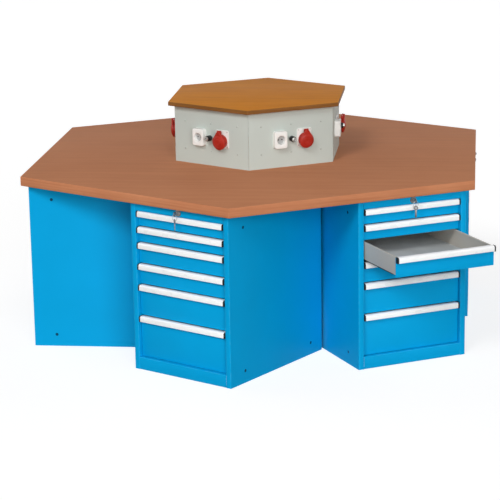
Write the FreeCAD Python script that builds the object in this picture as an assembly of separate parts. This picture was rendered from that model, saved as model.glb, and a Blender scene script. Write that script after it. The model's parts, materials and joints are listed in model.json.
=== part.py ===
import FreeCAD
import Part
import math
import os

# Six-sided worktop
side_length = 1240.0
worktop_thickness = 45.0
worktop_edge = 2.0

# Six sides, each turned by sixty degrees from the one before
first_side_angle = 30.0
side_names = ["front_right", "right", "back_right", "back_left", "left", "front_left"]

# Drawer cabinets, one at the right-hand end of each side
cabinet_width = 560.0
cabinet_setback = 31.0
cabinet_end_gap = 28.0
neighbour_gap = 11.3
sheet = 2.0
plinth_height = 60.0
post_width = 28.0
post_lip = 30.0
rear_flange = 15.0
rail_height = 38.0
fold = 24.0

# Drawers, counted from the top
drawer_heights = [75.0, 75.0, 100.0, 100.0, 150.0, 200.0]
front_thickness = 10.0
front_inset = 12.0
front_side_gap = 1.5
front_gap = 1.5
tray_sheet = 1.5
tray_side_gap = 8.0
tray_rear_gap = 24.0
tray_rise = 13.0
tray_drop = 4.0
open_side = "front_right"
open_drawer = 3
open_travel = 326.0

# Drawer runners, and the glide strips under the trays
runner_height = 22.0
runner_rise = 6.0
runner_start = 34.0
runner_end_gap = 8.0
runner_clearance = 0.5
glide_width = 16.0
glide_start = 60.0

# Label grips along the top edge of each drawer front
grip_reach = 19.0
grip_height = 27.0
grip_slope = 6.0
grip_hook = 8.0
grip_sheet = 2.0
cap_length = 5.0
cap_margin = 0.6

# Locks in the top rails
barrel_radius = 9.0
barrel_depth = 20.0
barrel_proud = 4.0
turn_clearance = 0.4
key_thickness = 2.2
key_shank = 8.0
key_shank_length = 9.0
key_bow = 11.0

# Supply tower in the middle of the worktop
tower_side = 445.0
tower_height = 275.0
tower_sheet = 2.0
tower_joint = 0.4
tower_lid_overhang = 35.0
tower_lid_thickness = 20.0
tower_lid_edge = 2.0
fitting_height = 137.0
batten_width = 30.0
batten_depth = 20.0
batten_margin = 65.0

# White plug sockets
socket_along = 160.0
socket_width = 64.0
socket_height = 82.0
socket_depth = 27.0
socket_corner = 4.0
socket_well_radius = 21.0
socket_well_depth = 17.5

# Black air couplings
coupling_gap = 16.5
coupling_length = 43.0
coupling_bore_radius = 5.0
coupling_bore_depth = 22.0
coupling_radius = 13.5
coupling_taper = 5.0

# Red plug sockets with hinged lids
red_gap = 17.5
red_radius = 32.0
red_wall = 5.0
red_length = 22.0
red_well_depth = 18.0
red_tilt = 5.0
red_drop = 10.0
red_flange = 5.0
red_flange_border = 6.0
red_flange_rise = 12.0
red_flange_corner = 6.0
red_lid_border = 5.0
red_lid_thickness = 8.0
red_lid_gap = 0.6
red_lid_apex = 6.0
red_hinge_clear = 20.0
red_hinge_radius = 4.5
red_knuckle_half = 7.0
red_lug = 4.0
red_lug_gap = 0.5
red_lug_root = 6.0
red_lug_corner = 2.5

# Sizes that follow from those above
cabinet_height = plinth_height + sum(drawer_heights) + rail_height + sheet
worktop_top = cabinet_height + worktop_thickness
side_distance = side_length * math.cos(math.radians(30))
tower_face = tower_side * math.cos(math.radians(30))
cabinet_left = side_length / 2 - cabinet_end_gap - cabinet_width
cabinet_front = cabinet_setback - side_distance
neighbour_wall = (cabinet_left - cabinet_width) / math.sqrt(3)
cabinet_depth = neighbour_wall - neighbour_gap / math.cos(math.radians(30)) - cabinet_front
opening_left = post_width
opening_right = cabinet_width - post_width
drawers_top = plinth_height + sum(drawer_heights)
lock_height = drawers_top + rail_height / 2
tray_left = opening_left + tray_side_gap
tray_right = cabinet_width - tray_left
tray_front = front_inset + front_thickness
runner_end = cabinet_depth - 2 * sheet - runner_end_gap
runner_reach = tray_left + glide_width - sheet
tray_rear = runner_end - tray_rear_gap
tower_lid_side = tower_side + tower_lid_overhang
red_flange_width = 2 * (red_radius + red_flange_border)
red_flange_height = 2 * (red_radius + red_flange_rise)
red_well_radius = red_radius - red_wall
red_lid_radius = red_radius + red_lid_border
red_hinge_rise = red_radius + red_hinge_clear
red_hinge_back = red_hinge_radius + red_lug_gap
coupling_along = socket_along + socket_width / 2 + coupling_gap + coupling_radius
red_along = coupling_along + coupling_radius + red_gap + red_flange_width / 2

x_axis = FreeCAD.Vector(1, 0, 0)
y_axis = FreeCAD.Vector(0, 1, 0)
z_axis = FreeCAD.Vector(0, 0, 1)


def box(x0, x1, y0, y1, z0, z1):
    """A block between two corners."""
    return Part.makeBox(x1 - x0, y1 - y0, z1 - z0, FreeCAD.Vector(x0, y0, z0))


def cylinder(radius, length, start, direction):
    """A round bar from a start point along a direction."""
    return Part.makeCylinder(radius, length, start, direction)


def prism(points, push):
    """A flat outline pushed straight into a solid."""
    face = Part.Face(Part.makePolygon(points + points[:1]))
    return face.extrude(push)


def along_x(outline, x0, x1):
    """An outline of depths and heights pushed along the width."""
    return prism([FreeCAD.Vector(x0, y, z) for y, z in outline], FreeCAD.Vector(x1 - x0, 0, 0))


def along_z(outline, z0, z1):
    """An outline seen from above pushed upwards."""
    return prism([FreeCAD.Vector(x, y, z0) for x, y in outline], FreeCAD.Vector(0, 0, z1 - z0))


def folded(path, thickness):
    """The section of a sheet folded along a path, with its thickness to the left of the path."""
    count = len(path)
    runs = []
    for a, b in zip(path, path[1:]):
        length = math.hypot(b[0] - a[0], b[1] - a[1])
        runs.append(((b[0] - a[0]) / length, (b[1] - a[1]) / length))
    inner = []
    for i, (p, q) in enumerate(path):
        before = runs[max(i - 1, 0)]
        after = runs[min(i, count - 2)]
        reach = thickness / (1 + before[0] * after[0] + before[1] * after[1])
        inner.append((p - reach * (before[1] + after[1]), q + reach * (before[0] + after[0])))
    return path + inner[::-1]


def hexagon(side):
    """The corners of a hexagon with one corner at the front."""
    turns = [math.radians(60 * i - 90) for i in range(6)]
    return [(side * math.cos(t), side * math.sin(t)) for t in turns]


def revolved(outline, axis_point, direction, outward):
    """A ring turned from an outline of radius and distance along an axis."""
    points = [axis_point + outward * r + direction * d for r, d in outline]
    face = Part.Face(Part.makePolygon(points + points[:1]))
    return face.revolve(axis_point, direction, 360)


def edges_along(solid, direction):
    """The straight edges of a solid that run along a direction."""
    found = []
    for edge in solid.Edges:
        run = edge.Vertexes[-1].Point - edge.Vertexes[0].Point
        if run.Length > 1e-6 and abs(run.normalize().dot(direction)) > 0.999:
            found.append(edge)
    return found


def on_side(shapes, side, at_cabinet=True):
    """Shapes drawn for one side, turned to their place on the bench."""
    moved = []
    for shape in shapes:
        copy = shape.copy()
        if at_cabinet:
            copy.translate(FreeCAD.Vector(cabinet_left, cabinet_front, 0))
        copy.rotate(FreeCAD.Vector(0, 0, 0), z_axis, first_side_angle + 60 * side)
        moved.append(copy)
    return moved


def on_all_sides(shapes, at_cabinet=True):
    """Shapes repeated on all six sides."""
    moved = []
    for side in range(6):
        moved += on_side(shapes, side, at_cabinet)
    return moved


def save(name, shapes):
    """One named piece written to its own file."""
    Part.makeCompound(shapes).exportStep("parts/" + name + ".step")


# Worktop board with softened edges
def worktop():
    board = along_z(hexagon(side_length), cabinet_height, worktop_top)
    return board.makeChamfer(worktop_edge, board.Edges)


# Cabinet side wall, folded round into a front post and a rear flange
def side_wall(mirrored):
    path = [
        (rear_flange, cabinet_depth),
        (0, cabinet_depth),
        (0, 0),
        (post_width, 0),
        (post_width, post_lip),
    ]
    wall = along_z(folded(path, sheet), 0, cabinet_height - sheet)
    if mirrored:
        wall = wall.mirror(FreeCAD.Vector(cabinet_width / 2, 0, 0), x_axis)
    return wall


# Cabinet back, top, plinth and lock rail with its square lock hole
def cabinet_back():
    y1 = cabinet_depth - sheet
    return box(sheet, cabinet_width - sheet, y1 - sheet, y1, 0, cabinet_height - sheet)


def cabinet_top():
    return box(0, cabinet_width, 0, cabinet_depth, cabinet_height - sheet, cabinet_height)


def plinth():
    path = [
        (cabinet_depth - 2 * sheet, plinth_height),
        (0, plinth_height),
        (0, 0),
        (fold, 0),
    ]
    return along_x(folded(path, sheet), opening_left, opening_right)


def lock_rail():
    low = drawers_top
    high = drawers_top + rail_height
    path = [(fold, high), (0, high), (0, low), (fold, low)]
    rail = along_x(folded(path, sheet), opening_left, opening_right)
    middle = cabinet_width / 2
    half = barrel_radius + turn_clearance
    hole = box(middle - half, middle + half, -sheet, 2 * sheet, lock_height - half, lock_height + half)
    return rail.cut(hole)


# Drawer floors, counted from the top
def drawer_floor(number):
    return drawers_top - sum(drawer_heights[:number])


# Pair of angles that carry one drawer
def runners(number):
    low = drawer_floor(number) + runner_rise
    path = [(sheet + runner_reach, low), (sheet, low), (sheet, low + runner_height)]
    points = [FreeCAD.Vector(x, runner_start, z) for x, z in folded(path[::-1], sheet)]
    left = prism(points, FreeCAD.Vector(0, runner_end - runner_start, 0))
    right = left.mirror(FreeCAD.Vector(cabinet_width / 2, 0, 0), x_axis)
    return [left, right]


# One drawer: its front, the four sheets of its tray, glide strips, label grip and grip ends
def drawer(number):
    height = drawer_heights[number - 1]
    low = drawer_floor(number)
    front_left = opening_left + front_side_gap
    front_right = opening_right - front_side_gap
    front_low = low + front_gap
    front_high = low + height - front_gap
    front = box(front_left, front_right, front_inset, tray_front, front_low, front_high)
    tray_low = low + tray_rise
    tray_high = low + height - tray_drop
    inner_left = tray_left + tray_sheet
    inner_right = tray_right - tray_sheet
    inner_rear = tray_rear - tray_sheet
    side = box(tray_left, inner_left, tray_front, tray_rear, tray_low, tray_high)
    other_side = side.mirror(FreeCAD.Vector(cabinet_width / 2, 0, 0), x_axis)
    floor = box(inner_left, inner_right, tray_front, tray_rear, tray_low, tray_low + tray_sheet)
    back = box(inner_left, inner_right, inner_rear, tray_rear, tray_low + tray_sheet, tray_high)
    glide_low = low + runner_rise + sheet + runner_clearance
    glide = box(tray_left, tray_left + glide_width, glide_start, tray_rear, glide_low, tray_low)
    other_glide = glide.mirror(FreeCAD.Vector(cabinet_width / 2, 0, 0), x_axis)
    face = front_inset
    grip_path = [
        (face - grip_reach + grip_hook, front_high - grip_height),
        (face - grip_reach, front_high - grip_height),
        (face - grip_reach, front_high - grip_slope),
        (face - grip_reach + grip_slope, front_high),
        (face, front_high),
    ]
    grip = along_x(folded(grip_path[::-1], grip_sheet), front_left + cap_length, front_right - cap_length)
    cap_low = front_high - grip_height - cap_margin
    cap_out = face - grip_reach - cap_margin
    cap_outline = [
        (face, cap_low),
        (face, front_high),
        (cap_out + grip_slope, front_high),
        (cap_out, front_high - grip_slope),
        (cap_out, cap_low),
    ]
    cap = along_x(cap_outline, front_left, front_left + cap_length)
    other_cap = cap.mirror(FreeCAD.Vector(cabinet_width / 2, 0, 0), x_axis)
    tray = [side, other_side, floor, back]
    return [front] + tray + [glide, other_glide, grip, cap, other_cap]


# Turning lock barrel with its key
def key():
    middle = cabinet_width / 2
    half = key_thickness / 2
    front = FreeCAD.Vector(middle, -barrel_proud, lock_height)
    barrel = cylinder(barrel_radius, barrel_depth + barrel_proud, front, y_axis)
    shank = key_shank / 2
    bow_start = -barrel_proud - key_shank_length
    bow_corner = key_bow - shank
    outline = [
        (-barrel_proud, -shank),
        (-barrel_proud, shank),
        (bow_start, shank),
        (bow_start - bow_corner, key_bow),
        (bow_start - 2 * key_bow + bow_corner, key_bow),
        (bow_start - 2 * key_bow, shank),
        (bow_start - 2 * key_bow, -shank),
        (bow_start - 2 * key_bow + bow_corner, -key_bow),
        (bow_start - bow_corner, -key_bow),
        (bow_start, -shank),
    ]
    heights = [(y, lock_height + z) for y, z in outline]
    return [barrel, along_x(heights, middle - half, middle + half)]


# Tower panels, battens and lid
def tower_panel():
    outer = tower_side / 2 - tower_joint
    inner = outer - tower_sheet * math.tan(math.radians(30))
    outline = [
        (-outer, -tower_face),
        (outer, -tower_face),
        (inner, tower_sheet - tower_face),
        (-inner, tower_sheet - tower_face),
    ]
    return along_z(outline, worktop_top, worktop_top + tower_height)


def battens():
    y0 = tower_sheet - tower_face
    half = batten_width / 2
    high = worktop_top + tower_height
    end = tower_side / 2 - batten_margin
    return [box(x - half, x + half, y0, y0 + batten_depth, worktop_top, high) for x in (-end, 0, end)]


def tower_lid():
    low = worktop_top + tower_height
    lid = along_z(hexagon(tower_lid_side), low, low + tower_lid_thickness)
    return lid.makeChamfer(tower_lid_edge, lid.Edges)


def fitting_point(along):
    """The middle of a fitting on the outer face of a tower panel."""
    return FreeCAD.Vector(along - tower_side / 2, -tower_face, worktop_top + fitting_height)


# White socket block with a round well
def white_socket():
    point = fitting_point(socket_along)
    half = socket_width / 2
    high = socket_height / 2
    y0 = point.y - socket_depth
    block = box(point.x - half, point.x + half, y0, point.y, point.z - high, point.z + high)
    block = block.makeChamfer(socket_corner, edges_along(block, y_axis))
    front = FreeCAD.Vector(point.x, y0, point.z)
    return block.cut(cylinder(socket_well_radius, socket_well_depth, front, y_axis))


# Air coupling, turned in one piece
def air_coupling():
    bore_end = coupling_length - coupling_bore_depth
    outline = [
        (0, 0),
        (coupling_radius, 0),
        (coupling_radius, coupling_length - coupling_taper),
        (coupling_bore_radius, coupling_length),
        (coupling_bore_radius, bore_end),
        (0, bore_end),
    ]
    return revolved(outline, fitting_point(coupling_along), -y_axis, x_axis)


# Red socket, drawn about its own tilted axis
tilt = math.radians(red_tilt)
red_out = FreeCAD.Vector(0, -math.cos(tilt), -math.sin(tilt))
red_up = FreeCAD.Vector(0, -math.sin(tilt), math.cos(tilt))
red_base = fitting_point(red_along) - y_axis * red_flange - z_axis * red_drop
red_hinge = red_base + red_out * (red_length - red_hinge_back) + red_up * red_hinge_rise


def red_flange_plate():
    point = fitting_point(red_along)
    half = red_flange_width / 2
    high = red_flange_height / 2
    y0 = point.y - red_flange
    plate = box(point.x - half, point.x + half, y0, point.y, point.z - high, point.z + high)
    return plate.makeChamfer(red_flange_corner, edges_along(plate, y_axis))


def red_block(x0, x1, out0, out1, up0, up1):
    """A block along the tilted axis of the red socket."""
    corner = red_base + x_axis * x0 + red_out * out0 + red_up * up0
    points = [
        corner,
        corner + red_out * (out1 - out0),
        corner + red_out * (out1 - out0) + red_up * (up1 - up0),
        corner + red_up * (up1 - up0),
    ]
    return prism(points, x_axis * (x1 - x0))


def red_body():
    body = cylinder(red_radius, red_length * 2, red_base - red_out * red_length, red_out)
    body = body.cut(cylinder(red_well_radius, red_well_depth, red_base + red_out * red_length, -red_out))
    root = red_radius - red_lug_root - red_hinge_rise
    cut = red_hinge_radius - red_lug_corner
    outline = [
        (-red_hinge_radius, root),
        (red_hinge_radius, root),
        (red_hinge_radius, cut),
        (cut, red_hinge_radius),
        (-cut, red_hinge_radius),
        (-red_hinge_radius, cut),
    ]
    inner = red_knuckle_half + red_lug_gap
    for x0 in (inner, -inner - red_lug):
        points = [red_hinge + x_axis * x0 + red_out * out + red_up * up for out, up in outline]
        body = body.fuse(prism(points, x_axis * red_lug))
    wide = red_flange_height
    low = red_base.z - wide
    y0 = red_base.y
    body = body.cut(box(red_base.x - wide, red_base.x + wide, y0, y0 + wide, low, low + 2 * wide))
    return body.removeSplitter()


def red_lid():
    start = red_base + red_out * (red_length + red_lid_gap)
    push = red_out * red_lid_thickness
    slope = math.asin((red_lid_radius - red_lid_apex) / red_hinge_rise)
    side = math.cos(slope)
    rise = math.sin(slope)

    def at(x, up):
        return start + x_axis * x + red_up * up

    top = red_hinge_rise + red_lid_apex
    low_half = red_lid_radius * side
    low_rise = red_lid_radius * rise
    high_half = red_lid_apex * side
    high_rise = red_hinge_rise + red_lid_apex * rise
    lower = [at(low_half, low_rise), at(-low_half, low_rise)]
    upper = [at(high_half, high_rise), at(-high_half, high_rise)]
    wire = Part.Wire(
        [
            Part.Arc(lower[0], at(0, -red_lid_radius), lower[1]).toShape(),
            Part.makeLine(lower[1], upper[1]),
            Part.Arc(upper[1], at(0, top), upper[0]).toShape(),
            Part.makeLine(upper[0], lower[0]),
        ]
    )
    lid = Part.Face(wire).extrude(push)
    hinge_out = red_length - red_hinge_back
    half = red_knuckle_half
    arm = red_block(
        -half,
        half,
        hinge_out,
        red_length + red_lid_gap + red_lid_thickness / 2,
        red_hinge_rise - red_hinge_radius,
        red_hinge_rise + red_hinge_radius,
    )
    knuckle = cylinder(red_hinge_radius, 2 * half, red_hinge - x_axis * half, x_axis)
    return lid.fuse(arm.fuse(knuckle)).removeSplitter()


# Write every piece
os.makedirs("parts", exist_ok=True)

save("worktop", [worktop()])
save("cabinet_side_walls", on_all_sides([side_wall(False), side_wall(True)]))
save("cabinet_backs", on_all_sides([cabinet_back()]))
save("cabinet_tops", on_all_sides([cabinet_top()]))
save("cabinet_front_rails", on_all_sides([plinth(), lock_rail()]))
pairs = [angle for number in range(1, 7) for angle in runners(number)]
save("drawer_runners", on_all_sides(pairs))
save("tower_panels", on_all_sides([tower_panel()], False))
save("tower_battens", on_all_sides(battens(), False))
save("tower_lid", [tower_lid()])
save("white_sockets", on_all_sides([white_socket()], False))
save("air_couplings", on_all_sides([air_coupling()], False))
save("red_sockets", on_all_sides([red_flange_plate(), red_body()], False))

for side, name in enumerate(side_names):
    save("key_" + name, on_side(key(), side))
    save("red_socket_lid_" + name, on_side([red_lid()], side, False))
    for number in range(1, 7):
        pieces = drawer(number)
        if name == open_side and number == open_drawer:
            for piece in pieces:
                piece.translate(-y_axis * open_travel)
        save("drawer_" + name + "_" + str(number), on_side(pieces, side))
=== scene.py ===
"""Hexagonal workshop bench: bent sheet, drawers, supply tower, fittings, finishes and studio."""
import functools
import json
import logging
import math
from dataclasses import dataclass, field
from enum import Enum
from typing import Iterable, Sequence

import bmesh
import bpy
from mathutils import Matrix, Vector


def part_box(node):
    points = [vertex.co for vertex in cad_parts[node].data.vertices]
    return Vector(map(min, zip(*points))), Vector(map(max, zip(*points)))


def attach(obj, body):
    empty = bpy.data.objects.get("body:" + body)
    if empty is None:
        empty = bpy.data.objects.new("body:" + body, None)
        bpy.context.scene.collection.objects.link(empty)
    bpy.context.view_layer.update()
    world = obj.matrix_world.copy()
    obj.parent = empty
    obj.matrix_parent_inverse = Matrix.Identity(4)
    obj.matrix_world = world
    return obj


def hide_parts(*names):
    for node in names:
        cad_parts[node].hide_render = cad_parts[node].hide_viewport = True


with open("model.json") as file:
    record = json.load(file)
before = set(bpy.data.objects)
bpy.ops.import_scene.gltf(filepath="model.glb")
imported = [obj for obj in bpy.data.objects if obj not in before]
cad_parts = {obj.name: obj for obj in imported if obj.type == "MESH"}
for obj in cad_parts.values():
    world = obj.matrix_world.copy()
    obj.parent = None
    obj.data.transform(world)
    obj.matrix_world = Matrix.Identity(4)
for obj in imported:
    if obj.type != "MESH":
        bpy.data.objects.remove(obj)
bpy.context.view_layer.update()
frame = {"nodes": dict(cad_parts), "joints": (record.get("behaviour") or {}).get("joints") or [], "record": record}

log = logging.getLogger("bench")

Shape = bmesh.types.BMesh
Edge = bmesh.types.BMEdge
Tree = bpy.types.NodeTree
Socket = bpy.types.NodeSocket
Point = Sequence[float]
Profile = Sequence[tuple[float, float]]
Colour = tuple[int, int, int]

Y_AXIS = Vector((0.0, 1.0, 0.0))
Z_AXIS = Vector((0.0, 0.0, 1.0))
HERE = Matrix.Identity(4)
OUTWARDS = Matrix.Rotation(math.pi / 2, 4, "X")
RIGHTWARDS = Matrix.Rotation(math.pi / 2, 4, "Y")
LEFTWARDS = Matrix.Rotation(-math.pi / 2, 4, "Y")
FULL_TURN = 2 * math.pi
FIRST_SIDE_DEGREES = 30
SIDE_STEP_DEGREES = 60
TINY = 1e-6
PARALLEL_ABOVE = 0.999
UPRIGHT_BELOW = 0.8
SMOOTH_BELOW = math.radians(38)
WORN = "worn"


class Side(Enum):
    """The six sides of the bench, counted round from the front right."""

    FRONT_RIGHT = 0
    RIGHT = 1
    BACK_RIGHT = 2
    BACK_LEFT = 3
    LEFT = 4
    FRONT_LEFT = 5

    @property
    def label(self) -> str:
        """The side's name as the frame writes it."""
        return self.name.lower()

    @property
    def turn(self) -> Matrix:
        """The turn from a side drawn facing -Y to its place."""
        return Matrix.Rotation(math.radians(FIRST_SIDE_DEGREES + SIDE_STEP_DEGREES * self.value), 4, "Z")


def at(x: float, y: float, z: float) -> Matrix:
    """A move to a point."""
    return Matrix.Translation((x, y, z))


def on_all_sides(place: Matrix = HERE) -> list[Matrix]:
    """The same place on each of the six sides."""
    return [side.turn @ place for side in Side]


@dataclass(frozen=True)
class Layout:
    """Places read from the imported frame, in metres.

    On a side drawn facing -Y, x runs along the side and y points to the middle of the bench.
    """

    side_length: float
    worktop_low: float
    worktop_top: float
    cabinet_front: float
    lock_x: float
    lock_z: float
    tower_face: float
    tower_top: float
    lid_side: float
    lid_top: float
    socket_x: float
    coupling_x: float
    fitting_z: float
    red_hinge: Vector

    @classmethod
    def read(cls) -> "Layout":
        """Reads the places off the boxes, mounts and joints of the left and right sides.

        Returns:
            The layout that every sub-assembly is placed by.
        """
        mounts = {mount["name"]: mount["pos_m"] for mount in frame["record"]["mounts"]}
        joints = {joint["name"]: joint for joint in frame["joints"]}
        key_low, key_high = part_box("key_left")
        board_low, board_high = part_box("worktop")
        panels_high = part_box("tower_panels")[1]
        lid_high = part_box("tower_lid")[1]
        hinge = joints["right_red_lid_hinge"]["pos_m"]
        return cls(
            side_length=board_high.y,
            worktop_low=board_low.z,
            worktop_top=board_high.z,
            cabinet_front=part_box("cabinet_front_rails")[0].x,
            lock_x=-(key_low.y + key_high.y) / 2,
            lock_z=(key_low.z + key_high.z) / 2,
            tower_face=panels_high.x,
            tower_top=panels_high.z,
            lid_side=lid_high.y,
            lid_top=lid_high.z,
            socket_x=mounts["right_plug_well"][1],
            coupling_x=mounts["right_air_coupling"][1],
            fitting_z=mounts["right_plug_well"][2],
            red_hinge=Vector((hinge[1], -hinge[0], hinge[2])),
        )

    def on_tower(self, x: float) -> Matrix:
        """A place on the face of a tower panel at the height of the fittings."""
        return at(x, -self.tower_face, self.fitting_z)


# Mesh building

def fresh() -> Shape:
    """An empty mesh with a layer that marks rounded edges.

    Returns:
        The mesh.
    """
    shape = bmesh.new()
    shape.faces.layers.float.new(WORN)
    return shape


def soften(shape: Shape, edges: Iterable[Edge], width: float, segments: int = 2) -> Shape:
    """Rounds edges and marks the rounding as worn.

    Args:
        shape: The mesh to change.
        edges: The edges to round.
        width: How far the rounding reaches on each side.
        segments: The number of steps in the rounding.

    Returns:
        The same mesh.
    """
    made = bmesh.ops.bevel(
        shape, geom=list(edges), offset=width, affect="EDGES", segments=segments, profile=0.5,
        material=-1, clamp_overlap=True,
    )
    layer = shape.faces.layers.float[WORN]
    for face in made["faces"]:
        face[layer] = 1.0
    return shape


def outward(shape: Shape, smooth: bool = False) -> Shape:
    """Turns the faces of a closed mesh outwards.

    Args:
        shape: The mesh to change.
        smooth: Whether the faces are shaded smooth.

    Returns:
        The same mesh.
    """
    bmesh.ops.recalc_face_normals(shape, faces=shape.faces)
    for face in shape.faces:
        face.smooth = smooth
    return shape


def edges_along(shape: Shape, axis: Vector) -> list[Edge]:
    """The edges of a mesh that run along an axis."""
    spans = ((edge, (edge.verts[1].co - edge.verts[0].co).normalized()) for edge in shape.edges)
    return [edge for edge, span in spans if abs(span.dot(axis)) > PARALLEL_ABOVE]


def push_new(shape: Shape, made: dict, push: Point) -> None:
    """Moves the new points of an extrusion."""
    verts = [item for item in made["geom"] if isinstance(item, bmesh.types.BMVert)]
    bmesh.ops.translate(shape, verts=verts, vec=push)


def draw_line(shape: Shape, points: Iterable[Point]) -> tuple[list[bmesh.types.BMVert], list[Edge]]:
    """Draws a line of edges and gives its points and edges."""
    verts = [shape.verts.new(point) for point in points]
    return verts, [shape.edges.new(pair) for pair in zip(verts, verts[1:])]


def block(low: Point, high: Point, rounding: float = 0.0, segments: int = 2) -> Shape:
    """A block between two corners.

    Args:
        low: The lowest corner.
        high: The highest corner.
        rounding: The width of the rounding on every edge.
        segments: The number of steps in the rounding.

    Returns:
        The closed solid.
    """
    shape = fresh()
    low, high = Vector(low), Vector(high)
    place = Matrix.Translation((low + high) / 2) @ Matrix.Diagonal((*(high - low), 1.0))
    bmesh.ops.create_cube(shape, size=1.0, matrix=place)
    if rounding:
        soften(shape, shape.edges, rounding, segments)
    return shape


def prism(outline: Sequence[Point], push: Point, rounding: float = 0.0) -> Shape:
    """A flat outline pushed into a solid.

    Args:
        outline: The corners of the flat outline, in order.
        push: How far and which way the outline is pushed.
        rounding: The width of the rounding on every edge.

    Returns:
        The closed solid.
    """
    shape = fresh()
    face = shape.faces.new([shape.verts.new(point) for point in outline])
    push_new(shape, bmesh.ops.extrude_face_region(shape, geom=[face]), push)
    outward(shape)
    if rounding:
        soften(shape, shape.edges, rounding)
    return shape


def hexagon(side: float, low: float, high: float, rounding: float) -> Shape:
    """A six-sided board with a corner towards -Y.

    Args:
        side: The length of a side.
        low: The height of its underside.
        high: The height of its top.
        rounding: The width of the rounding on every edge.

    Returns:
        The closed solid.
    """
    shape = fresh()
    bmesh.ops.create_circle(shape, cap_ends=True, segments=6, radius=side, matrix=at(0, 0, low))
    made = bmesh.ops.extrude_face_region(shape, geom=list(shape.faces))
    push_new(shape, made, (0, 0, high - low))
    outward(shape)
    return soften(shape, shape.edges, rounding, segments=3)


def folded(path: Sequence[Point], push: Point, thickness: float, bend: float) -> Shape:
    """A sheet folded along a path, with round bends.

    Args:
        path: The points of the fold line, seen along the push.
        push: How far and which way the fold line is pushed.
        thickness: The sheet's thickness, to the left of the path.
        bend: The size of each bend.

    Returns:
        The closed sheet.
    """
    shape = fresh()
    lines = draw_line(shape, path)[1]
    push_new(shape, bmesh.ops.extrude_edge_only(shape, edges=lines), push)
    creases = [edge for edge in shape.edges if len(edge.link_faces) == 2]
    soften(shape, creases, bend, segments=3)
    bmesh.ops.solidify(shape, geom=list(shape.faces), thickness=-thickness)
    return outward(shape)


def spun(shape: Shape, geom: list, steps: int) -> Shape:
    """Spins a line once round Z.

    Args:
        shape: The mesh that holds the line.
        geom: The line's points and edges.
        steps: The number of steps round the axis.

    Returns:
        The same mesh, closed and smooth.
    """
    bmesh.ops.spin(
        shape, geom=geom, cent=(0, 0, 0), axis=Z_AXIS, angle=FULL_TURN, steps=steps, use_merge=True,
        use_duplicate=False,
    )
    bmesh.ops.remove_doubles(shape, verts=shape.verts, dist=TINY)
    return outward(shape, smooth=True)


def turned(profile: Profile, steps: int = 32, radius: float = 1.0) -> Shape:
    """A shape turned about Z.

    Args:
        profile: Points of radius and height. A last point equal to the first closes a ring.
        steps: The number of steps round the axis.
        radius: What the radii in the profile are shares of.

    Returns:
        The smooth turned shape.
    """
    shape = fresh()
    verts, lines = draw_line(shape, [(radius * share, 0.0, height) for share, height in profile])
    return spun(shape, verts + lines, steps)


def ring(radius: float, wire: float, steps: int = 28) -> Shape:
    """A wire ring in the plane of X and Y.

    Args:
        radius: The radius at the middle of the wire.
        wire: The radius of the wire.
        steps: The number of steps round the ring.

    Returns:
        The smooth ring.
    """
    shape = fresh()
    made = bmesh.ops.create_circle(shape, segments=8, radius=wire, matrix=at(radius, 0, 0) @ OUTWARDS)
    return spun(shape, made["verts"] + list(shape.edges), steps)


def rounded_plate(width: float, height: float, depth: float, corner: float, rounding: float) -> Shape:
    """A plate standing on the plane y = 0 towards -Y, with round corners.

    Args:
        width: Its size along X.
        height: Its size along Z.
        depth: How far it stands out.
        corner: The size of its corners.
        rounding: The width of the rounding along its front.

    Returns:
        The closed solid.
    """
    shape = block((-width / 2, -depth, -height / 2), (width / 2, 0, height / 2))
    soften(shape, edges_along(shape, Y_AXIS), corner, segments=5)
    front = [edge for edge in shape.edges if all(vert.co.y < -depth + TINY for vert in edge.verts)]
    return soften(shape, front, rounding)


# Shader building

def linear(colour: Colour, scale: float = 1.0) -> tuple[float, float, float, float]:
    """A screen colour as a linear colour.

    Args:
        colour: Red, green and blue from 0 to 255.
        scale: How much lighter or darker it gets.

    Returns:
        The linear colour with full alpha.
    """
    parts = []
    for value in colour:
        part = value / 255
        part = part / 12.92 if part <= 0.04045 else ((part + 0.055) / 1.055) ** 2.4
        parts.append(min(part * scale, 1.0))
    return (*parts, 1.0)


def grey(level: float) -> tuple[float, float, float, float]:
    """A linear grey with full alpha."""
    return (level, level, level, 1.0)


def node(tree: Tree, kind: str, inputs: dict | None = None, **settings: object) -> bpy.types.Node:
    """Adds a node to a tree.

    Args:
        tree: The tree to add to.
        kind: The node's type, without its leading ShaderNode.
        inputs: Values, or sockets to link from, by the name or number of the input.
        settings: Attributes of the node.

    Returns:
        The new node.
    """
    made = tree.nodes.new(f"ShaderNode{kind}")
    for name, value in settings.items():
        setattr(made, name, value)
    for name, value in (inputs or {}).items():
        if isinstance(value, Socket):
            tree.links.new(value, made.inputs[name])
        else:
            made.inputs[name].default_value = value
    return made


def ramp(tree: Tree, factor: Socket, stops: Sequence[tuple]) -> Socket:
    """A colour ramp.

    Args:
        tree: The tree to add to.
        factor: The value that picks the colour.
        stops: Pairs of position and linear colour.

    Returns:
        The picked colour.
    """
    made = node(tree, "ValToRGB", {"Fac": factor})
    elements = made.color_ramp.elements
    while len(elements) < len(stops):
        elements.new(0.5)
    for element, (position, colour) in zip(elements, stops):
        element.position = position
        element.color = colour
    return made.outputs["Color"]


def spread(tree: Tree, value: Socket, low: float, high: float) -> Socket:
    """Spreads a value from 0..1 over another range."""
    return node(tree, "MapRange", {"Value": value, "To Min": low, "To Max": high}).outputs["Result"]


def combined(tree: Tree, operation: str, first: Socket, second: Socket) -> Socket:
    """Combines two values by an arithmetic operation."""
    return node(tree, "Math", {0: first, 1: second}, operation=operation).outputs["Value"]


def blended(tree: Tree, factor: object, first: object, second: object) -> Socket:
    """Mixes two colours by a factor."""
    return node(tree, "Mix", {0: factor, 6: first, 7: second}, data_type="RGBA").outputs[2]


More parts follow.
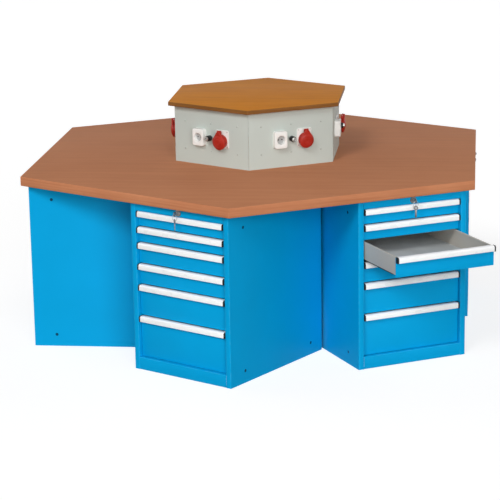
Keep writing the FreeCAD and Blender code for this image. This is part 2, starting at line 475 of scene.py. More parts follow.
def noise(tree: Tree, place: Socket, scale: object, detail: float, distortion: float = 0.0) -> Socket:
    """The value of a noise pattern at a place."""
    inputs = {"Vector": place, "Scale": scale, "Detail": detail, "Distortion": distortion}
    return node(tree, "TexNoise", inputs).outputs["Fac"]


def group_tree(name: str, inputs: dict[str, float], outputs: Sequence[str]) -> tuple[Tree, dict, dict]:
    """Starts a shader group of plain values.

    Args:
        name: The group's name.
        inputs: The inputs with their values.
        outputs: The names of the outputs.

    Returns:
        The tree, its input sockets by name and its output sockets by name.
    """
    tree = bpy.data.node_groups.new(name, "ShaderNodeTree")
    for label, value in inputs.items():
        socket = tree.interface.new_socket(name=label, in_out="INPUT", socket_type="NodeSocketFloat")
        socket.default_value = value
    for label in outputs:
        tree.interface.new_socket(name=label, in_out="OUTPUT", socket_type="NodeSocketFloat")
    start = tree.nodes.new("NodeGroupInput")
    end = tree.nodes.new("NodeGroupOutput")
    return tree, {s.name: s for s in start.outputs if s.name}, {s.name: s for s in end.inputs if s.name}


@functools.cache
def sprayed_grain() -> Tree:
    """The group for sprayed and moulded surfaces: slow clouds of tone and a fine skin.

    Returns:
        The group, built once.
    """
    values = {"Cloud Scale": 4.0, "Skin Scale": 700.0}
    tree, given, out = group_tree("sprayed_grain", values, ("Cloud", "Skin"))
    place = node(tree, "TexCoord").outputs["Object"]
    tree.links.new(noise(tree, place, given["Cloud Scale"], detail=4.0), out["Cloud"])
    tree.links.new(noise(tree, place, given["Skin Scale"], detail=2.0), out["Skin"])
    return tree


@functools.cache
def edge_wear() -> Tree:
    """The group for wear along rounded edges, broken up by noise.

    Returns:
        The group, built once.
    """
    tree, given, out = group_tree("edge_wear", {"Amount": 0.5, "Scale": 60.0}, ("Mask",))
    mark = node(tree, "Attribute", attribute_name=WORN).outputs["Fac"]
    place = node(tree, "TexCoord").outputs["Object"]
    cloud = noise(tree, place, given["Scale"], detail=3.0)
    patch = node(tree, "MapRange", {"Value": cloud, "From Min": 0.42, "From Max": 0.7}).outputs["Result"]
    worn = combined(tree, "MULTIPLY", mark, patch)
    tree.links.new(combined(tree, "MULTIPLY", worn, given["Amount"]), out["Mask"])
    return tree


@functools.cache
def wood_figure() -> Tree:
    """The group for board grain: streaks drawn out along each axis by its own share, and pores.

    Returns:
        The group, built once.
    """
    values = {"Along X": 1.0, "Along Y": 1.0, "Along Z": 1.0, "Pores": 3.0}
    tree, given, out = group_tree("wood_figure", values, ("Streaks", "Pores", "Mottle"))
    place = node(tree, "TexCoord").outputs["Object"]
    shares = {axis: given[f"Along {axis}"] for axis in "XYZ"}
    share = node(tree, "CombineXYZ", shares).outputs["Vector"]
    drawn = node(tree, "VectorMath", {0: place, 1: share}, operation="MULTIPLY").outputs["Vector"]
    tree.links.new(noise(tree, drawn, 1.0, detail=6.0, distortion=0.35), out["Streaks"])
    tree.links.new(noise(tree, drawn, given["Pores"], detail=4.0), out["Pores"])
    tree.links.new(noise(tree, place, 3.5, detail=3.0), out["Mottle"])
    return tree


# Finishes

@dataclass(frozen=True)
class Finish:
    """A surface finish with a screen colour from 0 to 255."""

    name: str
    colour: Colour
    roughness: float
    specular: float
    wear: float = 0.3
    bump: float = 0.1
    relief: float = 0.0005
    rough_spread: float = 0.1

    def material(self) -> bpy.types.Material:
        """The finish as a material.

        Returns:
            The material, made the first time it is asked for.
        """
        made = bpy.data.materials.get(self.name)
        if made is None:
            made = bpy.data.materials.new(self.name)
            made.use_nodes = True
            shader = made.node_tree.nodes["Principled BSDF"]
            shader.inputs["Specular IOR Level"].default_value = self.specular
            self.dress(made.node_tree, shader)
        return made

    def dress(self, tree: Tree, shader: bpy.types.Node) -> None:
        """Wires the finish into a shader."""
        raise NotImplementedError

    def wire(
        self, tree: Tree, shader: bpy.types.Node, tone: Socket, worn_colour: Colour, cloud: Socket,
        height: Socket,
    ) -> None:
        """Wires a tone with worn edges, a roughness and a relief into a shader.

        Args:
            tree: The material's tree.
            shader: The shader in it.
            tone: The colour away from the edges.
            worn_colour: The colour of worn edges.
            cloud: The value that the roughness follows.
            height: The value that the relief follows.
        """
        worn = node(tree, "Group", {"Amount": self.wear}, node_tree=edge_wear()).outputs["Mask"]
        colour = blended(tree, worn, tone, linear(worn_colour))
        low, high = self.roughness - self.rough_spread, self.roughness + self.rough_spread
        bump = node(tree, "Bump", {"Height": height, "Strength": self.bump, "Distance": self.relief})
        tree.links.new(colour, shader.inputs["Base Color"])
        tree.links.new(spread(tree, cloud, low, high), shader.inputs["Roughness"])
        tree.links.new(bump.outputs["Normal"], shader.inputs["Normal"])


@dataclass(frozen=True)
class SprayedCoat(Finish):
    """Powder coat, moulded plastic or bare metal: clouds of tone, a fine skin and worn edges."""

    wear: float = 0.35
    bump: float = 0.06
    relief: float = 0.0004
    rough_spread: float = 0.07
    cloud_scale: float = 4.0
    skin_scale: float = 700.0
    variation: float = 0.05
    wear_colour: Colour = (210, 214, 216)
    metallic: float = 0.0
    tone_stops: tuple[float, float] = (0.3, 0.7)

    def dress(self, tree: Tree, shader: bpy.types.Node) -> None:
        """Wires tone, wear, roughness and the fine skin into the shader.

        Args:
            tree: The material's tree.
            shader: The shader in it.
        """
        scales = {"Cloud Scale": self.cloud_scale, "Skin Scale": self.skin_scale}
        grain = node(tree, "Group", scales, node_tree=sprayed_grain()).outputs
        dark, light = linear(self.colour, 1 - self.variation), linear(self.colour, 1 + self.variation)
        tone = ramp(tree, grain["Cloud"], list(zip(self.tone_stops, (dark, light))))
        self.wire(tree, shader, tone, self.wear_colour, grain["Cloud"], grain["Skin"])
        shader.inputs["Metallic"].default_value = self.metallic


@dataclass(frozen=True)
class BoardWood(Finish):
    """Oiled or lacquered board with streaks drawn out along its grain."""

    bump: float = 0.12
    relief: float = 0.0006
    dark: Colour = (120, 80, 50)
    light: Colour = (190, 140, 100)
    along: tuple[float, float, float] = (1.2, 26.0, 26.0)
    pores: float = 5.0
    mottling: float = 0.4
    grain_stops: tuple[float, float, float] = (0.25, 0.5, 0.78)
    pore_depth: tuple[float, float] = (-0.35, 0.45)

    def dress(self, tree: Tree, shader: bpy.types.Node) -> None:
        """Wires streaks, pores, mottling and worn edges into the shader.

        Args:
            tree: The material's tree.
            shader: The shader in it.
        """
        values = {f"Along {axis}": share for axis, share in zip("XYZ", self.along)}
        values["Pores"] = self.pores
        figure = node(tree, "Group", values, node_tree=wood_figure()).outputs
        stops = list(zip(self.grain_stops, map(linear, (self.dark, self.colour, self.light))))
        grain = ramp(tree, figure["Streaks"], stops)
        tone = blended(tree, self.mottling, grain, ramp(tree, figure["Mottle"], stops))
        flecks = spread(tree, figure["Pores"], *self.pore_depth)
        flecked = blended(tree, flecks, tone, linear(self.dark))
        self.wire(tree, shader, flecked, self.light, figure["Streaks"], figure["Pores"])


BLUE_COAT = SprayedCoat(
    "blue_coat", (0, 162, 220), roughness=0.5, specular=0.1,
    wear=0.2, variation=0.03, wear_colour=(90, 190, 232),
)
GREY_COAT = SprayedCoat(
    "tower_grey_coat", (188, 197, 191), roughness=0.5, specular=0.15,
    variation=0.03, wear_colour=(228, 232, 228),
)
TRAY_COAT = SprayedCoat("tray_grey_coat", (201, 195, 185), roughness=0.45, specular=0.2, wear=0.3)
# The tray floor is the tray's own sheet, made lighter than the walls: painted light against the shade inside the
# tray.
TRAY_FLOOR_PAINTED_LIGHT = SprayedCoat(
    "tray_floor_painted_light", (207, 211, 212), roughness=0.55, specular=0.1,
    wear=0.2, variation=0.06, cloud_scale=9.0,
)
GRIP_WHITE = SprayedCoat(
    "grip_white", (252, 253, 254), roughness=0.32, specular=0.7,
    wear=0.06, variation=0.01, skin_scale=500.0,
)
LABEL_CARD = SprayedCoat(
    "label_card", (253, 254, 254), roughness=0.28, specular=0.7,
    wear=0.0, variation=0.01, cloud_scale=14.0,
)
CAP_BLACK = SprayedCoat(
    "cap_black", (20, 22, 26), roughness=0.45, specular=0.2,
    wear=0.2, variation=0.12, wear_colour=(60, 62, 66),
)
# Dark blue discs in the fixing holes: painted shade of the holes' insides.
HOLE_PAINTED_SHADE = SprayedCoat(
    "hole_painted_shade", (6, 66, 98), roughness=0.6, specular=0.1,
    wear=0.0, variation=0.15, cloud_scale=40.0,
)
WHITE_PLASTIC = SprayedCoat(
    "white_moulding", (236, 237, 234), roughness=0.35, specular=0.2,
    wear=0.2, variation=0.02,
)
# Grey for the white sockets' well floors and pin collars: painted shade of the wells.
WELL_PAINTED_SHADE = SprayedCoat(
    "well_painted_shade", (176, 177, 176), roughness=0.45, specular=0.1,
    wear=0.0, variation=0.04, cloud_scale=40.0,
)
FLANGE_PLASTIC = SprayedCoat(
    "flange_plastic", (226, 224, 220), roughness=0.35, specular=0.3,
    wear=0.2, variation=0.03,
)
RED_PLASTIC = SprayedCoat(
    "red_moulding", (164, 40, 28), roughness=0.42, specular=0.2,
    wear=0.2, variation=0.1, cloud_scale=30.0, wear_colour=(196, 66, 50),
)
# Dark grey for the red sockets' contact carriers and the lid seals, and as painted shade in the key slots and the
# white sockets' pin holes.
DARK_INSERT_AND_PAINTED_SHADE = SprayedCoat(
    "dark_insert_and_painted_shade", (40, 38, 38), roughness=0.5, specular=0.2,
    wear=0.1, variation=0.15, cloud_scale=40.0,
)
BLACK_SLEEVE = SprayedCoat(
    "black_sleeve", (20, 20, 22), roughness=0.4, specular=0.3,
    wear=0.5, variation=0.15, cloud_scale=60.0, wear_colour=(96, 98, 100),
)
NICKEL = SprayedCoat(
    "nickel", (196, 196, 194), roughness=0.3, specular=0.5,
    wear=0.3, variation=0.08, cloud_scale=90.0, metallic=1.0,
)
DULL_STEEL = SprayedCoat(
    "dull_steel", (128, 128, 128), roughness=0.42, specular=0.5,
    variation=0.12, cloud_scale=90.0, metallic=1.0,
)
RUNNER_STEEL = SprayedCoat(
    "runner_steel", (178, 180, 182), roughness=0.4, specular=0.5,
    variation=0.12, cloud_scale=25.0, metallic=1.0,
)
WORKTOP_FACE = BoardWood(
    "worktop_face", (190, 128, 92), roughness=0.6, specular=0.03,
    dark=(181, 119, 84), light=(198, 136, 99),
)
WORKTOP_EDGE = BoardWood(
    "worktop_edge", (197, 129, 91), roughness=0.6, specular=0.05,
    dark=(180, 112, 76), light=(211, 145, 105), along=(2.5, 2.5, 130.0),
)
LID_FACE = BoardWood(
    "lid_face", (201, 128, 44), roughness=0.55, specular=0.03,
    dark=(184, 111, 34), light=(214, 142, 60), along=(3.0, 34.0, 34.0),
)
LID_EDGE = BoardWood(
    "lid_edge", (130, 86, 43), roughness=0.55, specular=0.1,
    dark=(106, 67, 30), light=(156, 106, 56), along=(3.0, 3.0, 160.0),
)
BATTEN_WOOD = BoardWood(
    "batten_wood", (186, 146, 98), roughness=0.65, specular=0.1,
    dark=(158, 118, 74), light=(208, 170, 122), along=(40.0, 40.0, 2.0),
)


# Pieces

@dataclass
class Piece:
    """A piece of the bench, gathered from shaped parts before it becomes an object."""

    finishes: list[Finish] = field(default_factory=list)
    shape: Shape = field(default_factory=fresh)

    def add(self, part: Shape, finish: Finish, places: Iterable[Matrix] = (HERE,)) -> None:
        """Adds a shaped part, once for each place, and frees it.

        Args:
            part: The shaped part.
            finish: The finish on all its faces.
            places: Where its copies go.
        """
        if finish not in self.finishes:
            self.finishes.append(finish)
        for face in part.faces:
            face.material_index = self.finishes.index(finish)
        carrier = bpy.data.meshes.new("carrier")
        for place in places:
            copy = part.copy()
            copy.transform(place)
            if place.determinant() < 0:
                bmesh.ops.reverse_faces(copy, faces=copy.faces)
            copy.to_mesh(carrier)
            self.shape.from_mesh(carrier)
            copy.free()
        bpy.data.meshes.remove(carrier)
        part.free()

    def stand(
        self, name: str, body: str, slot: str, node_name: str | None = None, place: Matrix = HERE
    ) -> None:
        """Makes the gathered parts an object, most often in place of a node of the frame.

        Args:
            name: The object's name.
            body: The body that it moves with.
            slot: Not used.
            node_name: The node that it stands for, if it has one.
            place: Where the gathered parts go.
        """
        mesh = bpy.data.meshes.new(name)
        self.shape.to_mesh(mesh)
        mesh.transform(place)
        mesh.set_sharp_from_angle(angle=SMOOTH_BELOW)
        for finish in self.finishes:
            mesh.materials.append(finish.material())
        piece = bpy.data.objects.new(name, mesh)
        bpy.context.scene.collection.objects.link(piece)
        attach(piece, body)
        if node_name:
            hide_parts(node_name)
        log.info("%s rides on %s with %d faces", name, body, len(mesh.polygons))


def edged_board(shape: Shape, face_finish: Finish, edge_finish: Finish) -> Piece:
    """A board with one finish on its flat faces and another on its edge.

    Args:
        shape: The board.
        face_finish: The finish of the top and the underside.
        edge_finish: The finish of the upright faces.

    Returns:
        The gathered piece.
    """
    piece = Piece()
    piece.add(shape, face_finish)
    piece.finishes.append(edge_finish)
    for face in piece.shape.faces:
        if abs(face.normal.z) < UPRIGHT_BELOW:
            face.material_index = 1
    return piece


def recoat(node_name: str, finish: Finish) -> None:
    """Gives a node of the frame that stays in view a better finish.

    Args:
        node_name: The node.
        finish: Its finish.
    """
    mesh = frame["nodes"][node_name].data
    mesh.materials.clear()
    mesh.materials.append(finish.material())
    log.info("%s keeps its shape with finish %s", node_name, finish.name)


# Sub-assemblies

@dataclass
class Worktop:
    """The six-sided board with its lighter edge band."""

    layout: Layout
    rounding: float = 0.0025

    def build(self) -> None:
        """Builds the board and dresses its faces and edges."""
        size = self.layout
        board = hexagon(size.side_length, size.worktop_low, size.worktop_top, self.rounding)
        piece = edged_board(board, WORKTOP_FACE, WORKTOP_EDGE)
        piece.stand("finished_worktop", "bench", "worktop_wood", "worktop")


@dataclass
class CabinetShell:
    """The folded walls, plinths and lock rails of the six drawer cabinets."""

    layout: Layout
    width: float = 0.560
    depth: float = 0.725
    height: float = 0.798
    sheet: float = 0.002
    bend: float = 0.0035
    post_width: float = 0.028
    post_lip: float = 0.030
    rear_flange: float = 0.015
    plinth: float = 0.060
    rail: float = 0.038
    fold: float = 0.024
    plug_radius: float = 0.0074
    plug_rim_width: float = 0.0012
    plug_rim_height: float = 0.0005
    plug_rim_inner: float = 0.0003
    plug_profile: Profile = ((0, -0.0005), (1, -0.0005), (1, 0.0002), (0.6, 0.0001), (0, 0.0001))
    plug_depths: tuple[float, float] = (0.110, 0.630)
    plug_heights: tuple[float, float] = (0.058, 0.728)
    plug_steps: int = 20
    collar_radius: float = 0.0155
    collar_width: float = 0.006
    collar_height: float = 0.003
    collar_chamfer: float = 0.0012
    collar_dish: float = 0.0004

    def place(self) -> Matrix:
        """The front left foot of a cabinet on a side drawn facing -Y."""
        return at(self.layout.lock_x - self.width / 2, self.layout.cabinet_front, 0)

    def lock_place(self) -> Matrix:
        """The middle of the lock, seen from the front left foot of its cabinet."""
        return at(self.width / 2, 0, self.layout.lock_z)

    def mirror(self) -> Matrix:
        """The mirror image in the middle of a cabinet."""
        return at(self.width, 0, 0) @ Matrix.Diagonal((-1, 1, 1, 1))

    def build(self) -> None:
        """Builds the walls and the front rails of all six cabinets."""
        spots = on_all_sides(self.place())
        both = spots + [spot @ self.mirror() for spot in spots]
        walls = Piece()
        walls.add(self.wall(), BLUE_COAT, both)
        for depth in self.plug_depths:
            for height in self.plug_heights:
                holes = [spot @ at(0, depth, height) @ LEFTWARDS for spot in both]
                walls.add(self.plug_rim(), BLUE_COAT, holes)
                # painted shade: a dark disc stands for the shade inside each fixing hole
                walls.add(self.plug_hole(), HOLE_PAINTED_SHADE, holes)
        walls.stand("finished_cabinet_walls", "bench", "blue_sheet", "cabinet_side_walls")
        rails = Piece()
        rails.add(self.plinth_plate(), BLUE_COAT, spots)
        rails.add(self.lock_rail(), BLUE_COAT, spots)
        rails.add(self.collar(), DULL_STEEL, [spot @ self.lock_place() @ OUTWARDS for spot in spots])
        rails.stand("finished_front_rails", "bench", "blue_sheet", "cabinet_front_rails")

    def wall(self) -> Shape:
        """A left-hand wall with its rear flange and front post.

        Returns:
            The folded wall.
        """
        path = [
            (self.rear_flange, self.depth, 0),
            (0, self.depth, 0),
            (0, 0, 0),
            (self.post_width, 0, 0),
            (self.post_width, self.post_lip, 0),
        ]
        return folded(path, (0, 0, self.height), self.sheet, self.bend)

    def between_posts(self, section: Profile) -> Shape:
        """A sheet folded along a section of depths and heights, from post to post."""
        path = [(self.post_width, depth, height) for depth, height in section]
        return folded(path, (self.width - 2 * self.post_width, 0, 0), self.sheet, self.bend)

    def plinth_plate(self) -> Shape:
        """The plinth, folded back into the cabinet floor."""
        rear = self.depth - 2 * self.sheet
        return self.between_posts([(rear, self.plinth), (0, self.plinth), (0, 0), (self.fold, 0)])

    def lock_rail(self) -> Shape:
        """The rail above the drawers that holds the lock.

        Returns:
            The folded rail.
        """
        low = self.layout.lock_z - self.rail / 2
        high = low + self.rail
        return self.between_posts([(self.fold, high), (0, high), (0, low), (self.fold, low)])

    def collar(self) -> Shape:
        """The pressed ring round a lock.

        Returns:
            The ring, drawn about Z.
        """
        outer, chamfer, top = self.collar_radius, self.collar_chamfer, self.collar_height
        inner = outer - self.collar_width
        return turned([
            (inner, 0),
            (outer, 0),
            (outer, chamfer),
            (outer - chamfer, top),
            (inner, top - self.collar_dish),
            (inner, 0),
        ])

    def plug_rim(self) -> Shape:
        """The pressed rim of a fixing hole.

        Returns:
            The rim, drawn about Z.
        """
        r, wide, high = self.plug_radius, self.plug_rim_width, self.plug_rim_height
        profile = [(r, 0), (r + wide, 0), (r + wide / 2, high), (r, self.plug_rim_inner), (r, 0)]
        return turned(profile, self.plug_steps)

    def plug_hole(self) -> Shape:
        """A dark blue disc in a fixing hole: painted shade of the hole's inside, drawn about Z."""
        return turned(self.plug_profile, self.plug_steps, self.plug_radius)


@dataclass
class Drawers:
    """The drawers of a cabinet: fronts, label grips, trays and glides."""

    shell: CabinetShell
    heights: tuple[float, ...] = (0.075, 0.075, 0.100, 0.100, 0.150, 0.200)
    open_side: Side = Side.FRONT_RIGHT
    open_number: int = 3
    open_travel: float = 0.326
    front_depth: float = 0.003
    inset: float = 0.019
    gap: float = 0.0022
    front_rounding: float = 0.0012
    grip_reach: float = 0.019
    grip_height: float = 0.027
    grip_slope: float = 0.006
    grip_hook: float = 0.008
    grip_sheet: float = 0.002
    grip_bend: float = 0.0025
    cap_length: float = 0.0075
    cap_margin: float = 0.0006
    cap_rounding: float = 0.0009
    label_margin: float = 0.0026
    label_proud: float = 0.0004
    lip: float = 0.0013
    tray_gap: float = 0.008
    tray_rise: float = 0.013
    tray_drop: float = 0.004
    tray_rear: float = 0.689
    tray_sheet: float = 0.0015
    hem: float = 0.007
    hem_bend: float = 0.002
    glide_width: float = 0.016
    glide_start: float = 0.060
    glide_height: float = 0.0045

    @property
    def top(self) -> float:
        """The top of the uppermost drawer."""
        return self.shell.layout.lock_z - self.shell.rail / 2

    @property
    def left(self) -> float:
        """The left end of a drawer front."""
        return self.shell.post_width + self.gap

    @property
    def right(self) -> float:
        """The right end of a drawer front."""
        return self.shell.width - self.left

    @property
    def grip_out(self) -> float:
        """The face of a grip."""
        return self.inset - self.grip_reach

    @property
    def tray_left(self) -> float:
        """The outer face of the left tray wall."""
        return self.shell.post_width + self.tray_gap

    @property
    def tray_inner(self) -> float:
        """The inner face of the left tray wall."""
        return self.tray_left + self.tray_sheet

    @property
    def tray_front(self) -> float:
        """The back of a drawer front, where the tray starts."""
        return self.inset + self.front_depth

    def build(self) -> None:
        """Builds each drawer once and sets it in all six cabinets."""
        for number in range(1, len(self.heights) + 1):
            piece = self.drawer(number)
            for side in Side:
                name = f"drawer_{side.label}_{number}"
                place = side.turn @ self.shell.place()
                if side is self.open_side and number == self.open_number:
                    place = place @ at(0, -self.open_travel, 0)
                piece.stand(f"finished_{name}", f"{side.label}_drawer_{number}", "blue_drawer", name, place)

    def drawer(self, number: int) -> Piece:
        """One drawer, counted from the top, drawn at the foot of its cabinet.

        Args:
            number: The drawer's number.

        Returns:
            The gathered piece.
        """
        high = self.top - sum(self.heights[: number - 1])
        low = high - self.heights[number - 1]
        grip_top = high - self.gap
        tray_low = low + self.tray_rise
        tray_high = high - self.tray_drop
        pair = (HERE, self.shell.mirror())
        piece = Piece()
        piece.add(self.front(low + self.gap, grip_top - self.grip_sheet), BLUE_COAT)
        piece.add(self.grip(grip_top), GRIP_WHITE)
        label_low = grip_top - self.grip_height + self.label_margin
        label_high = grip_top - self.grip_slope - self.label_margin / 2
        piece.add(self.strip(label_low, label_high, self.label_proud, self.label_proud / 2), LABEL_CARD)
        for z in (label_low, label_high):
            piece.add(self.strip(z - self.lip, z, 2 * self.label_proud, self.label_proud), GRIP_WHITE)
        piece.add(self.cap(grip_top), CAP_BLACK, pair)
        piece.add(self.tray_wall(tray_low, tray_high), TRAY_COAT, pair)
        piece.add(self.tray_back(tray_low, tray_high), TRAY_COAT)
        # painted light: the floor is a lighter copy of the tray's sheet, against the shade inside the tray
        piece.add(self.tray_floor(tray_low), TRAY_FLOOR_PAINTED_LIGHT)
        piece.add(self.glide(tray_low), CAP_BLACK, pair)
        return piece

    def front(self, low: float, high: float) -> Shape:
        """The sheet front with rounded edges, up to the flange of its grip."""
        near, far = (self.left, self.inset, low), (self.right, self.tray_front, high)
        return block(near, far, self.front_rounding, segments=3)

    def grip(self, top: float) -> Shape:
        """The folded grip that lies on the top of a front.

        Args:
            top: The top of the grip.

        Returns:
            The folded grip without its caps.
        """
        out, low = self.grip_out, top - self.grip_height
        section = [
            (self.tray_front, top),
            (out + self.grip_slope, top),
            (out, top - self.grip_slope),
            (out, low),
            (out + self.grip_hook, low),
        ]
        start = self.left + self.cap_length
        path = [(start, y, z) for y, z in section]
        return folded(path, (self.right - self.cap_length - start, 0, 0), self.grip_sheet, self.grip_bend)

    def strip(self, low: float, high: float, proud: float, rounding: float) -> Shape:
        """A strip along the face of a grip: the card in it, or a bead that holds the card.

        Args:
            low: The lower edge of the strip.
            high: Its upper edge.
            proud: How far it stands out of the grip's face.
            rounding: The width of the rounding on every edge.

        Returns:
            The closed strip.
        """
        near = (self.left + self.cap_length, self.grip_out - proud, low)
        far = (self.right - self.cap_length, self.grip_out + self.label_proud, high)
        return block(near, far, rounding)

    def cap(self, top: float) -> Shape:
        """The moulded cap on the left end of a grip.

        Args:
            top: The top of the grip.

        Returns:
            The closed cap.
        """
        low = top - self.grip_height - self.cap_margin
        out = self.grip_out - self.cap_margin
        section = [
            (self.inset, low),
            (self.inset, top - self.grip_sheet),
            (self.tray_front, top - self.grip_sheet),
            (self.tray_front, top),
            (out + self.grip_slope, top),
            (out, top - self.grip_slope),
            (out, low),
        ]
        outline = [(self.left, y, z) for y, z in section]
        return prism(outline, (self.cap_length, 0, 0), self.cap_rounding)

    def tray_wall(self, low: float, high: float) -> Shape:
        """The left tray wall with a hem folded into the tray.

        Args:
            low: The lower edge of the wall.
            high: Its upper edge.

        Returns:
            The folded wall.
        """
        outer, inner = self.tray_left, self.tray_left + self.hem
        section = [(outer, low), (outer, high), (inner, high), (inner, high - self.hem)]
        path = [(x, self.tray_front, z) for x, z in section]
        return folded(path, (0, self.tray_rear - self.tray_front, 0), self.tray_sheet, self.hem_bend)

    def tray_back(self, low: float, high: float) -> Shape:
        """The rear tray wall.

        Args:
            low: The lower edge of the tray's walls.
            high: The upper edge of its side walls.

        Returns:
            The closed sheet.
        """
        near = (self.tray_inner, self.tray_rear - self.tray_sheet, low)
        far = (self.shell.width - self.tray_inner, self.tray_rear, high - self.hem)
        return block(near, far, self.tray_sheet / 3)

    def tray_floor(self, low: float) -> Shape:
        """The tray floor, in a lighter copy of the tray's sheet: painted light against the shade in the tray.

        Args:
            low: The underside of the tray.

        Returns:
            The closed sheet.
        """
        near = (self.tray_inner, self.tray_front, low)
        far = (self.shell.width - self.tray_inner, self.tray_rear - self.tray_sheet, low + self.tray_sheet)
        return block(near, far, self.tray_sheet / 3)

    def glide(self, high: float) -> Shape:
        """The glide strip under the left edge of a tray.

        Args:
            high: The underside of the tray.

        Returns:
            The closed strip.
        """
        near = (self.tray_left, self.glide_start, high - self.glide_height)
        far = (self.tray_left + self.glide_width, self.tray_rear, high)
        return block(near, far, self.glide_height / 4)


@dataclass
class Keys:
    """A lock barrel with its key, key ring and spare key for each cabinet."""

    shell: CabinetShell
    barrel_radius: float = 0.009
    barrel_depth: float = 0.020
    barrel_chamfer: float = 0.0012
    proud: float = 0.004
    thickness: float = 0.0022
    shank: float = 0.008
    shank_length: float = 0.009
    rounding: float = 0.0004
    slot_height: float = 0.0112
    slot_proud: float = 0.0003
    bow: float = 0.011
    bow_rounding: float = 0.0005
    bow_overlap: float = 0.2
    hole: float = 0.0042
    hole_out: float = 0.027
    ring_radius: float = 0.0135
    ring_hang: float = 0.6
    wire: float = 0.0009
    spare_bow: float = 0.0105
    spare_length: float = 0.0445
    spare_twist: float = math.radians(58)

    def build(self) -> None:
        """Builds one lock with its keys and sets it in all six cabinets."""
        key = self.key_in_lock()
        spare = self.spare_on_ring()
        for side in Side:
            place = side.turn @ self.shell.place() @ self.shell.lock_place()
            name = f"key_{side.label}"
            key.stand(f"finished_{name}", f"{side.label}_key", "key_metal", name, place)
            spare.stand(f"finished_spare_{name}", "bench", "key_metal", place=place)

    def key_in_lock(self) -> Piece:
        """The barrel and the key in it, drawn about the lock's middle.

        Returns:
            The gathered piece.
        """
        piece = Piece()
        piece.add(self.barrel(), DULL_STEEL, (OUTWARDS,))
        bow_y = -self.proud - self.shank_length - self.bow
        piece.add(self.bow_plate(self.bow), DULL_STEEL, (at(0, bow_y, 0) @ RIGHTWARDS,))
        half, high = self.thickness / 2, self.shank / 2
        shank_y = bow_y + self.bow * (1 - self.bow_overlap)
        piece.add(block((-half, shank_y, -high), (half, -self.proud, high), self.rounding), NICKEL)
        # painted shade: a dark block on the barrel's face stands for the shade in the keyway round the key
        high = self.slot_height / 2
        slot = block((-half, -self.proud - self.slot_proud, -high), (half, -self.proud, high))
        piece.add(slot, DARK_INSERT_AND_PAINTED_SHADE)
        return piece

    def spare_on_ring(self) -> Piece:
        """The ring through the key's bow and the spare key on it, which hang still when the key turns.

        Returns:
            The gathered piece.
        """
        piece = Piece()
        slack = self.hole * self.ring_hang
        ring_z = -slack - self.ring_radius
        hang = at(0, -self.hole_out, ring_z)
        piece.add(ring(self.ring_radius, self.wire), NICKEL, (hang @ OUTWARDS,))
        spare = at(0, -self.hole_out, ring_z - self.ring_radius - slack)
        spare = spare @ Matrix.Rotation(self.spare_twist, 4, "Z")
        piece.add(self.bow_plate(self.spare_bow), DULL_STEEL, (spare @ RIGHTWARDS,))
        half, wide = self.thickness / 2, self.shank / 2
        top = -self.spare_bow * (1 - self.bow_overlap)
        blade = block((-half, -wide, -self.spare_length), (half, wide, top), self.rounding)
        piece.add(blade, DULL_STEEL, (spare,))
        return piece

    def barrel(self) -> Shape:
        """The turning barrel with its chamfered face.

        Returns:
            The barrel, drawn about Z.
        """
        r, low, face, cut = self.barrel_radius, -self.barrel_depth, self.proud, self.barrel_chamfer
        return turned([(0, low), (r, low), (r, face - cut), (r - cut, face), (0, face)])

    def bow_plate(self, radius: float) -> Shape:
        """A round key bow with a hole.

        Args:
            radius: The radius of the bow.

        Returns:
            The bow, drawn about Z.
        """
        half, soft, hole = self.thickness / 2, self.bow_rounding, self.hole
        profile = [
            (hole, -half),
            (radius - soft, -half),
            (radius, -half + soft),
            (radius, half - soft),
            (radius - soft, half),
            (hole, half),
            (hole, -half),
        ]
        return turned(profile, steps=28)


@dataclass
class Tower:
    """The supply tower: grey panels with screws, and a wooden lid."""

    layout: Layout
    side: float = 0.445
    sheet: float = 0.002
    joint: float = 0.0004
    rounding: float = 0.0016
    screw_radius: float = 0.0046
    screw_profile: Profile = ((0, 0), (1, 0), (1, 0.0006), (0.8, 0.0017), (0.4, 0.0022), (0, 0.0023))
    screw_xs: tuple[float, ...] = (-0.1575, 0.0, 0.1575)
    screw_zs: tuple[float, ...] = (0.070, 0.205)
    recess_length: float = 0.62
    recess_width: float = 0.13
    recess_low: float = 0.0015
    recess_high: float = 0.00245
    lid_rounding: float = 0.003

    def build(self) -> None:
        """Builds the panels with their screws, and the lid."""
        size = self.layout
        panels = Piece()
        panels.add(self.panel(), GREY_COAT, on_all_sides())
        for x in self.screw_xs:
            for z in self.screw_zs:
                spots = on_all_sides(at(x, -size.tower_face, size.worktop_top + z) @ OUTWARDS)
                panels.add(self.screw_head(), GREY_COAT, spots)
                # painted shade: darker steel bars stand for the shade in each screw's cross recess
                for recess in self.screw_recess():
                    panels.add(recess, DULL_STEEL, spots)
        panels.stand("finished_tower_panels", "bench", "grey_sheet", "tower_panels")
        board = hexagon(size.lid_side, size.tower_top, size.lid_top, self.lid_rounding)
        lid = edged_board(board, LID_FACE, LID_EDGE)
        lid.stand("finished_tower_lid", "bench", "lid_wood", "tower_lid")

    def panel(self) -> Shape:
        """One panel with mitred ends and rounded upright edges.

        Returns:
            The closed panel.
        """
        outer = self.side / 2 - self.joint
        inner = outer - self.sheet * math.tan(math.radians(SIDE_STEP_DEGREES / 2))
        low, front = self.layout.worktop_top, -self.layout.tower_face
        back = front + self.sheet
        outline = [(-outer, front, low), (outer, front, low), (inner, back, low), (-inner, back, low)]
        shape = prism(outline, (0, 0, self.layout.tower_top - low))
        uprights = [edge for edge in edges_along(shape, Z_AXIS) if edge.verts[0].co.y < front + TINY]
        return soften(shape, uprights, self.rounding, segments=3)

    def screw_head(self) -> Shape:
        """A low domed screw head, drawn about Z."""
        return turned(self.screw_profile, steps=16, radius=self.screw_radius)

    def screw_recess(self) -> list[Shape]:
        """The cross recess of a screw head, drawn as two darker steel bars on the head: painted shade of the
        recess.

        Returns:
            The two bars of the cross.
        """
        arm, half = self.screw_radius * self.recess_length, self.screw_radius * self.recess_width
        low, high = self.recess_low, self.recess_high
        return [block((-x, -y, low), (x, y, high)) for x, y in ((arm, half), (half, arm))]


